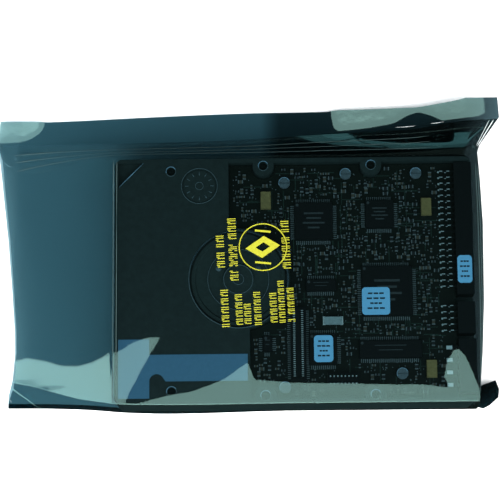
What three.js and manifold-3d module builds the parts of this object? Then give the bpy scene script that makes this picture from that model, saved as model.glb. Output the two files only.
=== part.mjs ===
// A static shielding bag with a 3.5 inch disk drive lying in it, circuit board upwards.
// Millimetres. X runs along the bag, from its open mouth (-X) to its folded end (+X).
// Y runs across it, and the side seal that shows lies on +Y. Z is up.
// The origin is on the table, under the centre of the drive.

import * as THREE from "three";
import { mergeVertices } from "three/addons/utils/BufferGeometryUtils.js";
import Module from "manifold-3d";

const wasm = await Module();
wasm.setup();

// Film
const filmThickness = 0.15;
const filmGap = 0.4; // clearance between the film and what it bears on
const airRise = 1.8; // how far the trapped air lifts the film off the drive
const mouthOverhang = 47; // from the drive to the lower lip
const lipStep = 1.5; // the upper lip lies this far behind the lower one
const mouthSkew = 0.02; // slope of the mouth against the drive's end
const mouthHeight = 3; // of the upper lip above the table
const tailOverhang = 5.6; // from the drive to the folded end
const tailHeight = 11; // of the end fold above the table
const foldHeight = 1.2; // over both plies, just inside the end fold
const sealWidth = 10; // of the heat-sealed margin
const sealDistance = 16.6; // from the drive to the seal's root, at mid length
const sealSkew = 0.044; // slope of the seal against the drive's long side
const sealTailOverhang = 11.5; // from the drive to the seal's free end
const sealTailHeight = 10; // of that end above the table
const sealLiftMiddle = 1; // of the seal above the table, at mid length
const tuckWidth = 14; // of the near margin, folded under the bag
const crownInset = 13; // from the drive's sides and ends to where the film starts to bend down
const crownLineY = 6; // the line along which the film stands highest
const tuckRamp = 6; // over which the lower ply comes down from the tucked margin
const tuckSlit = 0.1; // between that margin and the lower ply
const earReach = 6; // of the tucked corner beyond the end fold
const earHeight = 3;
const shoulderRadius = 1; // of the film round the drive's long edges
const shoulderRise = 0.15; // of that bend over the film's level on the drive

// Drive, to the 3.5 inch form factor. Places on it are given for a drive of the layout's size,
// and are stretched to the drive's own length and width.
const layoutLength = 147;
const layoutWidth = 101.6;
const driveLength = 147;
const driveWidth = 101.6;
const driveHeight = 26.1;
const driveSeat = 0.4; // between the drive and the ply it lies on
const castingCorner = 3;
const coverThickness = 0.8;
const coverInset = 2.4;
const coverCorner = 6;
const coverPlateGap = 0.3;
const mountHoleRadius = 1.75;
const mountHoleDepth = 5;
const mountHolePlaces = [32.22, -12.23];
const mountHoleFromSide = 3.18;
const mountBossRadius = 4.4;
const frontHolePlace = -50.3; // the third pair
const frontHoleFromSide = 5.2;
const sideHoleSpacing = 101.6;
const sideHoleFromEnd = 28.5;
const sideHoleHeight = 6.35; // below the board side
const cornerStepReach = 12; // of the stepped corner, along each side
const cornerStepDepth = 2.5;
const dateRingPlace = [-38.6, 39.4];
const dateRingRadius = 7.4;
const dateRingWidth = 0.9;
const dateRingDepth = 0.4;

// Circuit board
const boardThickness = 1.6;
const boardGap = 0.4; // from the board to the casting, all round and below
const componentRoom = 4; // from the board up to the drive's face
const sideRailWidth = 1.8; // casting left standing beside the board
const boardLeftFar = -26.2; // where the board starts, past the motor
const boardLeftNear = -18; // the same, on the near side of the motor
const boardRightInset = 7.5;
const screwRadius = 2.4;
const screwHeight = 1.1;
const screwSlotWidth = 0.7;
const screwSlotDepth = 0.5;
const seatGap = 0.3; // under whatever stands on the board or the casting

// Spindle motor
const motorPlace = [-22.9, 0.3];
const motorBoardGap = 1; // from its recess to the board, beyond the board's gap to the casting
const motorRecessRadius = 20;
const motorRecessDepth = 2.4;
const motorPlateRadius = 19.2;
const motorPlateThickness = 1.2;
const motorRimWidth = 1.4;
const motorHubRadius = 6;
const motorHubHeight = 0.7;

// Connectors
const pinPitch = 2.54;
const pinWidth = 0.64;
const pinTipInset = 1.6; // of the pins' tips inside a socket's mouth
const pinReach = 3.6; // of the longer row, from the housing to its bend
const pinStagger = 2;
const pinRise = 1.9; // of the pins above the board
const interfaceRows = 20;
const interfaceKeyRow = 10; // the row that lacks a pin
const interfaceLength = 55.4;
const jumperRows = 5;
const jumperFarGap = 3.1; // from the interface connector to the jumper block
const jumperNearGap = 2.3; // from the jumper block to the power connector
const powerPins = 4;
const powerPitch = 5.08;
const powerPinWidth = 1.6;
const powerInset = 1.4; // from the board's near edge
const powerLength = 22;
const housingHeight = 9;
const housingInset = 0.4; // below the drive's face
const housingWall = 1.1;
const housingDepth = 6; // of the socket in a housing

// Smaller pieces on the board and the casting
const chipHeight = 2.2;
const lowChipHeight = 1.7;
const mouldDraft = 0.35;
const capacitorHeight = 2.6;
const headSocketPlace = [1.3, -26.4];
const headSocketSize = [6.4, 30];
const headSocketHeight = 2.4;
const testHeaderPlace = [19.3, -41.4];
const testHeaderColumns = 8;
const testHeaderPitch = 1.5;
const testPinHeight = 2.6;
const stickerThickness = 0.12;
const stickerGap = 0.05;
const stickerCorner = 1.5;
const castingStickerTop = -24.3;
const castingStickerShelf = -30.6;
const castingStickerStep = -38.5;
const castingStickerFoot = -48.4;
const castingStickerLeg = 12.6;
const castingStickerNotch = 3;
const castingStickerEdge = 1.6; // from the drive's end, and nearly so from the board

// Levels above the table
const tuckTop = 2 * filmThickness;
const overTuck = tuckTop + filmThickness;
const driveBottom = overTuck + driveSeat;
const driveTop = driveBottom + driveHeight;
const castingBottom = driveBottom + coverThickness + coverPlateGap;
const boardTop = driveTop - componentRoom;
const boardBottom = boardTop - boardThickness;
const recessFloor = boardBottom - boardGap;
const filmOnDrive = driveTop + filmGap + filmThickness;
const shoulderZ = filmOnDrive + shoulderRise;
const housingTop = driveTop - housingInset;

// Places along and across the drive
const endX = driveLength / 2;
const sideY = driveWidth / 2;
const wallY = sideY + filmGap + filmThickness;
const boardRight = endX - boardRightInset;
const boardEdgeY = sideY - sideRailWidth - boardGap;
const along = (x) => (x * driveLength) / layoutLength;
const across = (y) => (y * driveWidth) / layoutWidth;
const stretched = ([x, y]) => [along(x), across(y)];
const mountHoleY = sideY - mountHoleFromSide;
const mountHoleX = mountHolePlaces.map(along);
const frontHoleX = along(frontHolePlace);
const frontHoleY = sideY - frontHoleFromSide;
const [motorX, motorY] = stretched(motorPlace);
const [dateRingX, dateRingY] = stretched(dateRingPlace);
const interfaceCentreY = boardEdgeY - interfaceLength / 2;
const powerCentreY = -boardEdgeY + powerInset + powerLength / 2;

// The jumper block fills the room that the other two connectors leave.
const jumperFarEnd = interfaceCentreY - interfaceLength / 2 - jumperFarGap;
const jumperNearEnd = powerCentreY + powerLength / 2 + jumperNearGap;
const jumperLength = jumperFarEnd - jumperNearEnd;
const jumperCentreY = (jumperFarEnd + jumperNearEnd) / 2;
const jumperPitch = jumperLength / (jumperRows + 0.12);

function finish(color, roughness, metalness) {
  return new THREE.MeshStandardMaterial({ color, roughness, metalness });
}

const castingBlack = finish(0x15181a, 0.55, 0.1);
const mouldedBlack = finish(0x101213, 0.6, 0);
const boardGreen = finish(0x10241a, 0.5, 0);
const steel = finish(0xb9bcc0, 0.3, 1);
const aluminium = finish(0xc8ccd0, 0.4, 1);
const ochre = finish(0xb59a4a, 0.5, 0);
const paper = finish(0xf0f2f2, 0.6, 0);
const ceramic = finish(0xd8dcd4, 0.5, 0);
const shieldFilm = finish(0x2f6a78, 0.1, 0.4);
shieldFilm.transparent = true;
shieldFilm.opacity = 0.55;

const group = new THREE.Group();

function add(name, geometry, material) {
  const mesh = new THREE.Mesh(geometry, material);
  mesh.name = name;
  group.add(mesh);
}

function solidOf(geometry) {
  const bare = geometry.clone();
  bare.deleteAttribute("normal");
  bare.deleteAttribute("uv");
  const merged = mergeVertices(bare, 1e-4);
  return new wasm.Manifold(
    new wasm.Mesh({
      numProp: 3,
      vertProperties: new Float32Array(merged.attributes.position.array),
      triVerts: new Uint32Array(merged.index.array),
    }),
  );
}

function geometryOf(solid) {
  const mesh = solid.getMesh();
  const geometry = new THREE.BufferGeometry();
  geometry.setAttribute("position", new THREE.BufferAttribute(mesh.vertProperties, 3));
  geometry.setIndex(new THREE.BufferAttribute(mesh.triVerts, 1));
  geometry.computeVertexNormals();
  return geometry;
}

function cut(body, tools) {
  return tools.reduce((left, tool) => left.subtract(solidOf(tool)), body);
}

function join(body, pieces) {
  return pieces.reduce((whole, piece) => whole.add(solidOf(piece)), body);
}

// A box by the centre of its foot and its sizes.
function block(x, y, foot, length, width, height) {
  return new THREE.BoxGeometry(length, width, height).translate(x, y, foot + height / 2);
}

// An upright round bar by the centre of its foot.
function post(x, y, foot, radius, height, sides = 20) {
  const geometry = new THREE.CylinderGeometry(radius, radius, height, sides);
  return geometry.rotateX(Math.PI / 2).translate(x, y, foot + height / 2);
}

function slab(shape, foot, height, curveSegments = 4) {
  const options = { depth: height, bevelEnabled: false, curveSegments };
  return new THREE.ExtrudeGeometry(shape, options).translate(0, 0, foot);
}

function polygon(points) {
  return new THREE.Shape(points.map(([x, y]) => new THREE.Vector2(x, y)));
}

function roundedRectangle(x, y, length, width, radius) {
  const [left, right] = [x - length / 2, x + length / 2];
  const [low, high] = [y - width / 2, y + width / 2];
  const shape = new THREE.Shape();
  shape.moveTo(left + radius, low);
  shape.absarc(right - radius, low + radius, radius, -Math.PI / 2, 0);
  shape.absarc(right - radius, high - radius, radius, 0, Math.PI / 2);
  shape.absarc(left + radius, high - radius, radius, Math.PI / 2, Math.PI);
  shape.absarc(left + radius, low + radius, radius, Math.PI, 1.5 * Math.PI);
  return shape;
}

// The bag: a film sleeve lofted through cross sections from its mouth to its end fold.
// Every section lists the same points, so each point draws one rail along the bag.

function sealRootY(x) {
  return sideY + sealDistance + sealSkew * x;
}

function lipX(y) {
  return -endX - mouthOverhang - mouthSkew * y;
}

// The lower ply and the tucked margin lie on the table up to the drive's right end.
function flatUnderside(xAt) {
  const tip = -wallY + tuckWidth;
  return [
    [xAt(sideY), sideY, 0],
    [xAt(crownLineY), crownLineY, 0],
    [xAt(tip + tuckRamp), tip + tuckRamp, 0],
    [xAt(tip), tip, tuckTop + tuckSlit],
    [xAt(-wallY), -wallY + 2 * filmThickness, tuckTop],
    [xAt(tip), tip, tuckTop],
    [xAt(tip), tip, 0],
  ];
}

// The sealed margin, from its root on the upper ply round its edge to the lower ply.
function sealMargin(xAt, lift) {
  const rootY = sealRootY(xAt(sideY));
  const x = xAt(rootY);
  return [
    [x, rootY, lift + 2 * filmThickness],
    [x, rootY + sealWidth, lift + 2 * filmThickness],
    [x, rootY + sealWidth, lift],
    [x, rootY, lift],
  ];
}

// One section over the drive: the upper ply bears on its long edges and stands off between them.
function driveSection(x, rise, sealLift) {
  const at = () => x;
  return {
    foot: [x, -wallY, 0],
    shoulder: [x, -wallY, shoulderZ],
    top: [
      [x, -sideY + crownInset, shoulderZ + rise],
      [x, crownLineY, shoulderZ + rise],
      [x, sideY - crownInset, shoulderZ + rise * 0.7],
    ],
    farShoulder: [x, sideY + filmGap, shoulderZ],
    bend: [x, sideY + sealDistance * 0.5, shoulderZ * 0.46],
    margin: sealMargin(at, sealLift),
    underside: flatUnderside(at),
  };
}

// The lips of the mouth lie almost closed on the table.
function mouthSection() {
  const upper = (y) => lipX(y) + lipStep;
  const place = (y, z) => [upper(y), y, z];
  return {
    foot: place(-wallY, 0),
    shoulder: place(-sideY * 0.79, mouthHeight * 0.75),
    top: [
      place(-sideY * 0.55, mouthHeight),
      place(crownLineY, mouthHeight + 0.4),
      place(sideY * 0.75, mouthHeight),
    ],
    farShoulder: place(sideY * 0.9, mouthHeight * 0.85),
    bend: place(sideY + sealDistance * 0.2, mouthHeight * 0.4),
    margin: sealMargin(lipX, 0),
    underside: flatUnderside(lipX),
  };
}

// Half way down from the drive to the lips the film stands as a tent with a crease on each side.
function tentSection() {
  const x = -endX - mouthOverhang * 0.52;
  const ridge = mouthHeight + (shoulderZ - mouthHeight) * 0.47;
  return {
    foot: [x, -wallY, 0],
    shoulder: [x, -sideY * 0.91, ridge * 0.74],
    top: [
      [x, -sideY * 0.61, ridge],
      [x, crownLineY, ridge + 0.3],
      [x, sideY * 0.78, ridge],
    ],
    farShoulder: [x, sideY * 0.95, ridge * 0.93],
    bend: [x, sideY + sealDistance * 0.35, ridge * 0.42],
    margin: sealMargin(() => x, 0),
    underside: flatUnderside(() => x),
  };
}

// Past the drive's right end both plies run together, and the tucked margin starts to turn out.
function tailSection() {
  const x = endX + tailOverhang * 0.74;
  const low = tailHeight * 0.42;
  const high = (shoulderZ + tailHeight) / 2;
  const tip = -wallY + tuckWidth;
  const tipX = x + earReach * 0.3;
  const rootX = endX + (tailOverhang + sealTailOverhang) / 2;
  const rootY = sealRootY(rootX);
  return {
    foot: [tipX, -wallY, 0.8],
    shoulder: [x - 0.4, -wallY + 2, high - 2],
    top: [
      [x, -sideY + crownInset, high],
      [x + 0.2, crownLineY, high + 0.6],
      [x, sideY - crownInset, high],
    ],
    farShoulder: [x - 1, sideY + filmGap, high + 2],
    bend: [x + 0.6, sideY + sealDistance * 0.5, high * 0.82],
    margin: [
      [rootX, rootY, sealTailHeight * 0.85 + 2 * filmThickness],
      [rootX, rootY + sealWidth, sealTailHeight * 0.85 + 2 * filmThickness],
      [rootX, rootY + sealWidth, sealTailHeight * 0.85],
      [rootX, rootY, sealTailHeight * 0.85],
    ],
    underside: [
      [x - 0.6, sideY, low],
      [x - 0.6, crownLineY, low],
      [x - 0.6, tip + tuckRamp, low],
      [x - 0.6, tip, low],
      [tipX, -wallY + 2 * filmThickness, 0.8 + tuckTop],
      [tipX, tip - 2, 0.8 + tuckTop],
      [tipX, tip - 2, 0.8],
    ],
  };
}

// The end fold. Its corners stand out as ears, where the film isn't pulled back by the drive.
function foldSection() {
  const x = endX + tailOverhang;
  const high = tailHeight + foldHeight / 2;
  const low = tailHeight - foldHeight / 2;
  const earX = x + earReach;
  const tip = -wallY + tuckWidth;
  const rootX = endX + sealTailOverhang;
  const rootY = sealRootY(rootX);
  return {
    foot: [earX, -wallY + 3, earHeight],
    shoulder: [x - 0.9, -wallY + 8, high - 2.4],
    top: [
      [x - 0.3, -sideY + crownInset + 3, high],
      [x, crownLineY, high],
      [x - 0.5, sideY - crownInset, high],
    ],
    farShoulder: [x - 1.8, sideY + filmGap, high + 1.8],
    bend: [x + 1.2, sideY + sealDistance * 0.55, high + 1],
    margin: [
      [rootX, rootY, sealTailHeight + 2 * filmThickness],
      [rootX, rootY + sealWidth, sealTailHeight + 2 * filmThickness],
      [rootX, rootY + sealWidth, sealTailHeight],
      [rootX, rootY, sealTailHeight],
    ],
    underside: [
      [x - 1.8, sideY, low + 1.6],
      [x, crownLineY, low],
      [x - 0.2, tip + tuckRamp, low],
      [x - 0.3, tip, low],
      [earX - 0.4, -wallY + 4, earHeight + tuckTop],
      [earX, tip - 5.5, earHeight + tuckTop],
      [earX, tip - 5.5, earHeight],
    ],
  };
}

const bagSections = [
  mouthSection(),
  tentSection(),
  driveSection(-endX - 1, 0.2, 0),
  driveSection(-endX + crownInset, airRise, 0),
  driveSection(0, airRise, sealLiftMiddle),
  driveSection(endX - crownInset, airRise, sealTailHeight * 0.55),
  driveSection(endX + 0.7, 0.3, sealTailHeight * 0.75),
  tailSection(),
  foldSection(),
];
const stationsPerSpan = [6, 6, 3, 4, 4, 4, 3, 4];

// A bend of the film at a shoulder, as three points on a curve between its neighbours.
function roundedBend(before, corner, after) {
  const [from, at, to] = [before, corner, after].map((p) => new THREE.Vector3(...p));
  const start = from.sub(at).setLength(shoulderRadius).add(at);
  const end = to.sub(at).setLength(shoulderRadius).add(at);
  return new THREE.QuadraticBezierCurve3(start, at, end).getPoints(2);
}

// The upper ply's points of one section, from the near foot to the seal's root.
function upperChain({ foot, shoulder, top, farShoulder, bend, margin }) {
  const crown = new THREE.CatmullRomCurve3(top.map((p) => new THREE.Vector3(...p)));
  const farBend = roundedBend(top[2], farShoulder, bend);
  const root = new THREE.Vector3(...margin[0]);
  const slope = new THREE.CatmullRomCurve3([farBend.at(-1), new THREE.Vector3(...bend), root]);
  return [
    new THREE.Vector3(...foot),
    ...roundedBend(foot, shoulder, top[0]),
    ...crown.getPoints(6),
    ...farBend,
    ...slope.getPoints(5).slice(1),
  ];
}

// The rest of the section, from the seal's edge back along the lower ply to the tucked tip.
function lowerChain({ margin, underside }) {
  return [...margin.slice(1), ...underside].map((p) => new THREE.Vector3(...p));
}

// Samples the rails through matching points of all sections.
function loft(chains) {
  const rails = chains[0].map((_, j) => new THREE.CatmullRomCurve3(chains.map((c) => c[j])));
  const stations = [0];
  stationsPerSpan.forEach((steps, span) => {
    for (let step = 1; step <= steps; step++) stations.push(span + step / steps);
  });
  return stations.map((station) =>
    rails.map((rail) => {
      const point = rail.getPoint(station / stationsPerSpan.length);
      point.z = Math.max(point.z, 0);
      return point;
    }),
  );
}

// The inner face of a ply: each point of its outer face moved in by the film's thickness.
function innerFace(rows, turn) {
  const last = rows[0].length - 1;
  return rows.map((row, i) =>
    row.map((point, j) => {
      const along = rows[Math.min(i + 1, rows.length - 1)][j].clone().sub(rows[Math.max(i - 1, 0)][j]);
      const across = row[Math.min(j + 1, last)].clone().sub(row[Math.max(j - 1, 0)]);
      const inward = across.cross(along).setLength(filmThickness * turn);
      return point.clone().add(inward);
    }),
  );
}

function bagGeometry() {
  const outer = loft(bagSections.map((s) => [...upperChain(s), ...lowerChain(s)]));
  const upperCount = upperChain(bagSections[0]).length;
  const marginCount = 2;
  const tuckCount = 2;
  const upper = outer.map((row) => row.slice(0, upperCount));
  const lower = outer.map((row) => row.slice(upperCount + marginCount, row.length - tuckCount));
  const upperInner = innerFace(upper, 1);
  const lowerInner = innerFace(lower, 1);

  // The cavity's sections, without the last one, where both plies are one fold.
  const inner = outer.slice(0, -1).map((row, i) => {
    const crease = lower[i].at(-1);
    const foot = new THREE.Vector3(crease.x, upper[i][0].y + filmThickness, crease.z + filmThickness);
    const root = lower[i][0].clone().add(new THREE.Vector3(0, -filmThickness, filmThickness));
    return [foot, ...upperInner[i].slice(1, -1), root, ...lowerInner[i].slice(1, -1)];
  });

  const points = [];
  const triangles = [];
  const indexRows = (rows) => rows.map((row) => row.map((point) => points.push(point) - 1));
  const outerIndex = indexRows(outer);
  const innerIndex = indexRows(inner);

  const skin = (rows, outward) => {
    for (let i = 0; i + 1 < rows.length; i++) {
      rows[i].forEach((a, j) => {
        const next = (j + 1) % rows[i].length;
        const [b, c, d] = [rows[i + 1][j], rows[i + 1][next], rows[i][next]];
        triangles.push(...(outward ? [a, b, c, a, c, d] : [a, c, b, a, d, c]));
      });
    }
  };
  skin(outerIndex, true);
  skin(innerIndex, false);

  // Closes the space between two chains that run side by side along Y, the first one above.
  const bridge = (above, below) => {
    const [lastAbove, lastBelow] = [above.length - 1, below.length - 1];
    const span = (p, q) => points[above[p]].distanceTo(points[below[q]]);
    let [p, q] = [0, 0];
    while (p < lastAbove || q < lastBelow) {
      const stepAbove = q === lastBelow || (p < lastAbove && span(p + 1, q) < span(p, q + 1));
      triangles.push(above[p], ...(stepAbove ? [above[++p], below[q]] : [below[q + 1], below[q++]]));
    }
  };
  const named = (row) => ({
    upper: row.slice(0, upperCount),
    edge: row.slice(upperCount, upperCount + marginCount),
    lower: row.slice(upperCount + marginCount, row.length - tuckCount).reverse(),
    tip: row.slice(-tuckCount),
  });
  const innerNamed = (row) => ({
    upper: row.slice(0, upperCount),
    lower: [row[0], ...row.slice(upperCount - 1).reverse()],
  });

  // The mouth shows the cut edge of each ply, of the sealed margin and of the tucked one.
  const mouth = named(outerIndex[0]);
  const mouthInner = innerNamed(innerIndex[0]);
  const [foot, crease] = [mouth.upper[0], mouth.lower[0]];
  const [rootAbove, rootBelow] = [mouth.upper.at(-1), mouth.lower.at(-1)];
  bridge(mouth.upper, mouthInner.upper);
  bridge(mouthInner.lower, mouth.lower);
  bridge([rootAbove, mouth.edge[0]], [rootBelow, mouth.edge[1]]);
  bridge([crease, mouth.tip[0]], [foot, mouth.tip[1]]);
  triangles.push(mouthInner.upper.at(-1), rootAbove, rootBelow, foot, mouthInner.upper[0], crease);

  // The end fold closes both the outer face and the cavity.
  const fold = named(outerIndex.at(-1));
  bridge(fold.lower, fold.upper);
  bridge([fold.lower.at(-1), fold.edge[1]], [fold.upper.at(-1), fold.edge[0]]);
  bridge([fold.upper[0], fold.tip[1]], [fold.lower[0], fold.tip[0]]);
  const pocket = innerNamed(innerIndex.at(-1));
  bridge(pocket.upper, pocket.lower.slice(1, -1));

  const geometry = new THREE.BufferGeometry();
  geometry.setFromPoints(points);
  geometry.setIndex(triangles);
  geometry.computeVertexNormals();
  return geometry;
}

add("shielding_bag", bagGeometry(), shieldFilm);

// The drive's casting, open on its board side and at the connectors.

const cornerSigns = [-1, 1];

function boardOutline(gap) {
  const right = boardRight + gap;
  const far = boardEdgeY + gap;
  return polygon([
    [along(boardLeftFar) - gap, motorY],
    [right, motorY],
    [right, far],
    [along(boardLeftFar) - gap, far],
  ]);
}

function nearBoardOutline(gap) {
  return polygon([
    [along(boardLeftNear) - gap, -boardEdgeY - gap],
    [boardRight + gap, -boardEdgeY - gap],
    [boardRight + gap, motorY],
    [along(boardLeftNear) - gap, motorY],
  ]);
}

// The bosses that the board passes, by their places.
const boardSideBosses = mountHoleX.flatMap((x) => cornerSigns.map((side) => [x, side * mountHoleY]));
const mountHoles = [
  ...boardSideBosses,
  ...cornerSigns.map((side) => [frontHoleX, side * frontHoleY]),
];

function boardSolid(foot, height, gap) {
  const far = solidOf(slab(boardOutline(gap), foot, height));
  const whole = far.add(solidOf(slab(nearBoardOutline(gap), foot, height)));
  const clearance = boardGap - gap;
  const round = (x, y, radius, sides) => post(x, y, foot - 1, radius + clearance, height + 2, sides);
  const bosses = boardSideBosses.map(([x, y]) => round(x, y, mountBossRadius, 20));
  return cut(whole, [round(motorX, motorY, motorRecessRadius + motorBoardGap, 40), ...bosses]);
}

function driveBase() {
  const outline = roundedRectangle(0, 0, driveLength, driveWidth, castingCorner);
  const height = driveTop - castingBottom;
  let body = solidOf(slab(outline, castingBottom, height));
  body = body.subtract(boardSolid(recessFloor, driveTop - recessFloor + 1, boardGap));
  const connectorRoom = boardRightInset + 1 + boardGap;
  const socketFloor = housingTop - housingHeight - seatGap;
  const corner = polygon([
    [-endX + castingCorner / 2, sideY - cornerStepReach],
    [-endX + cornerStepReach, sideY - castingCorner / 2],
    [-endX + castingCorner / 2, sideY - castingCorner / 2],
  ]);
  const ring = new THREE.Shape().absarc(dateRingX, dateRingY, dateRingRadius, 0, 2 * Math.PI);
  ring.holes.push(new THREE.Path().absarc(dateRingX, dateRingY, dateRingRadius - dateRingWidth, 0, 2 * Math.PI));
  const sideHoleX = [endX - sideHoleFromEnd, endX - sideHoleFromEnd - sideHoleSpacing];
  const sideHoles = sideHoleX.flatMap((x) =>
    cornerSigns.map((side) => {
      const hole = new THREE.CylinderGeometry(mountHoleRadius, mountHoleRadius, 2 * mountHoleDepth, 16);
      return hole.translate(x, side * sideY, driveTop - sideHoleHeight);
    }),
  );
  return cut(body, [
    block(endX, 0, socketFloor, 2 * connectorRoom, driveWidth - 2 * sideRailWidth, driveTop),
    post(motorX, motorY, driveTop - motorRecessDepth, motorRecessRadius, motorRecessDepth + 1, 40),
    slab(corner, driveTop - cornerStepDepth, cornerStepDepth + 1),
    slab(ring, driveTop - dateRingDepth, dateRingDepth + 1, 10),
    ...mountHoles.map(([x, y]) => post(x, y, driveTop - mountHoleDepth, mountHoleRadius, mountHoleDepth + 1, 16)),
    ...sideHoles,
  ]);
}

add("drive_base", geometryOf(driveBase()), castingBlack);

function coverGeometry() {
  const [length, width] = [driveLength - 2 * coverInset, driveWidth - 2 * coverInset];
  return slab(roundedRectangle(0, 0, length, width, coverCorner), driveBottom, coverThickness);
}

add("drive_cover", coverGeometry(), aluminium);

function motorGeometry() {
  const foot = driveTop - motorRecessDepth + seatGap;
  const top = foot + motorPlateThickness;
  const rim = motorPlateRadius - motorRimWidth;
  const profile = [
    [0, foot],
    [motorPlateRadius, foot],
    [motorPlateRadius, top],
    [rim, top],
    [rim - 0.5, top - 0.5],
    [motorHubRadius + 0.8, top - 0.5],
    [motorHubRadius, top - 0.5 + motorHubHeight],
    [0, top - 0.5 + motorHubHeight],
  ].map(([radius, z]) => new THREE.Vector2(radius, z));
  return new THREE.LatheGeometry(profile, 40).rotateX(Math.PI / 2).translate(motorX, motorY, 0);
}

add("spindle_motor", motorGeometry(), steel);
add("circuit_board", geometryOf(boardSolid(boardBottom, boardThickness, 0)), boardGreen);

// A slotted pan head seated on the board.
function screwGeometry(x, y) {
  const foot = boardTop + seatGap;
  const head = solidOf(post(x, y, foot, screwRadius, screwHeight, 16));
  const slot = block(x, y, foot + screwHeight - screwSlotDepth, 3 * screwRadius, screwSlotWidth, 1);
  return geometryOf(cut(head, [slot]));
}

const boardScrews = [
  [-3.6, 41],
  [21.8, 44.6],
  [50.9, 44.6],
  [43.4, -38.8],
  [-4.3, -44],
];
boardScrews.forEach((place, i) => add(`board_screw_${i + 1}`, screwGeometry(...stretched(place)), steel));

// Packages on the board: centre, body length and width, height, and chamfer of the mould line.
function packageGeometry(place, size, height, chamfer) {
  const [x, y] = stretched(place);
  const [length, width] = stretched(size);
  const foot = boardTop + seatGap;
  const waist = height * 0.45;
  const ring = (inset, z) =>
    [
      [-1, -1],
      [1, -1],
      [1, 1],
      [-1, 1],
    ].map(([u, v]) => new THREE.Vector3(x + u * (length / 2 - inset), y + v * (width / 2 - inset), z));
  const rings = [ring(chamfer, foot), ring(0, foot + waist), ring(chamfer, foot + height)];
  const points = rings.flat();
  const faces = [0, 2, 1, 0, 3, 2, 8, 9, 10, 8, 10, 11];
  for (const level of [0, 4]) {
    for (let side = 0; side < 4; side++) {
      const [a, b] = [level + side, level + ((side + 1) % 4)];
      faces.push(a, b, b + 4, a, b + 4, a + 4);
    }
  }
  return new THREE.BufferGeometry().setFromPoints(points).setIndex(faces);
}

const chips = [
  ["controller_chip", [37.9, -4.9], [21, 21], chipHeight],
  ["servo_chip", [8.3, 24.5], [16, 16], chipHeight],
  ["channel_chip", [35.5, 27.2], [12, 12], chipHeight],
  ["driver_chip", [11.3, -28.7], [11.5, 13], chipHeight],
  ["memory_chip", [38.8, -28.9], [25.8, 7.6], lowChipHeight],
  ["logic_chip", [10.9, -2.2], [12.6, 5.2], lowChipHeight],
  ["preamp_chip", [-11.3, -26.2], [4, 7], lowChipHeight],
];
chips.forEach(([name, place, size, height]) =>
  add(name, packageGeometry(place, size, height, mouldDraft), mouldedBlack),
);

const capacitors = [
  [-11.3, 33.4],
  [54.8, 30.1],
  [55.3, -37.2],
];
capacitors.forEach((place, i) =>
  add(`tantalum_capacitor_${i + 1}`, packageGeometry(place, [4.3, 7.3], capacitorHeight, 0.15), ochre),
);
add("resonator", packageGeometry([15.6, -16.9], [7.2, 3.4], lowChipHeight, 0.2), ceramic);

// The twin-row socket of the head cable, a trough with end walls.
function headSocketGeometry() {
  const [x, y] = stretched(headSocketPlace);
  const [width, length] = stretched(headSocketSize);
  const foot = boardTop + seatGap;
  const shell = solidOf(block(x, y, foot, width, length, headSocketHeight));
  const trough = block(
    x,
    y,
    foot + headSocketHeight / 2,
    width - 2 * housingWall,
    length - 2 * housingWall,
    headSocketHeight,
  );
  return geometryOf(cut(shell, [trough]));
}
add("head_socket", headSocketGeometry(), mouldedBlack);

// The test header, two rows of square pins in one moulding.
function testHeaderGeometry() {
  const [x, y] = stretched(testHeaderPlace);
  const foot = boardTop + seatGap;
  const pitch = along(testHeaderPitch);
  const pins = [];
  for (let column = 0; column < testHeaderColumns; column++) {
    const pinX = x + (column - (testHeaderColumns - 1) / 2) * pitch;
    for (const side of cornerSigns) {
      const pinY = y + side * testHeaderPitch;
      pins.push(block(pinX, pinY, foot, pinWidth, pinWidth, testPinHeight));
    }
  }
  const length = (testHeaderColumns + 0.4) * pitch;
  const base = solidOf(block(x, y, foot, length, 4 * testHeaderPitch, testPinHeight * 0.6));
  return geometryOf(join(base, pins));
}
add("test_header", testHeaderGeometry(), mouldedBlack);

// A right-angle connector at the drive's end: a housing open outwards, with its pins bent down
// to the board behind it.
function connectorGeometry(centreY, length, pins, socketWidth) {
  const depth = endX - boardRight - boardGap;
  const foot = housingTop - housingHeight;
  const housing = solidOf(block(endX - depth / 2, centreY, foot, depth, length, housingHeight));
  const socket = block(
    endX,
    centreY,
    foot + housingWall,
    2 * housingDepth,
    socketWidth,
    housingHeight - 2 * housingWall,
  );
  return geometryOf(join(cut(housing, [socket]), pins));
}

// One bent pin, from behind the housing down to the board.
function bentPin(y, reach, width) {
  const rise = boardTop + pinRise;
  const foot = boardTop + seatGap;
  const back = boardRight + boardGap;
  const shape = polygon([
    [back - reach, foot],
    [back - reach + width, foot],
    [back - reach + width, rise - width],
    [back + housingWall / 2, rise - width],
    [back + housingWall / 2, rise],
    [back - reach, rise],
  ]);
  const pin = new THREE.ExtrudeGeometry(shape, { depth: width, bevelEnabled: false });
  return pin.rotateX(Math.PI / 2).translate(0, y + width / 2, 0);
}

// The same pin where it stands in the socket, at a height from the middle of the housing.
function socketPin(y, height, width) {
  const back = endX - housingDepth - housingWall / 2;
  const tip = endX - pinTipInset;
  const middle = housingTop - housingHeight / 2 + height;
  return block((back + tip) / 2, y, middle - width / 2, tip - back, width, width);
}

function pinRows(rows, centreY, pitch, missingRow) {
  const pins = [];
  for (let row = 0; row < rows; row++) {
    const y = centreY + ((rows - 1) / 2 - row) * pitch;
    pins.push(bentPin(y, pinReach + pinStagger, pinWidth), socketPin(y, pinPitch / 2, pinWidth));
    if (row !== missingRow) {
      pins.push(bentPin(y, pinReach - pinStagger, pinWidth), socketPin(y, -pinPitch / 2, pinWidth));
    }
  }
  return pins;
}

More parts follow.
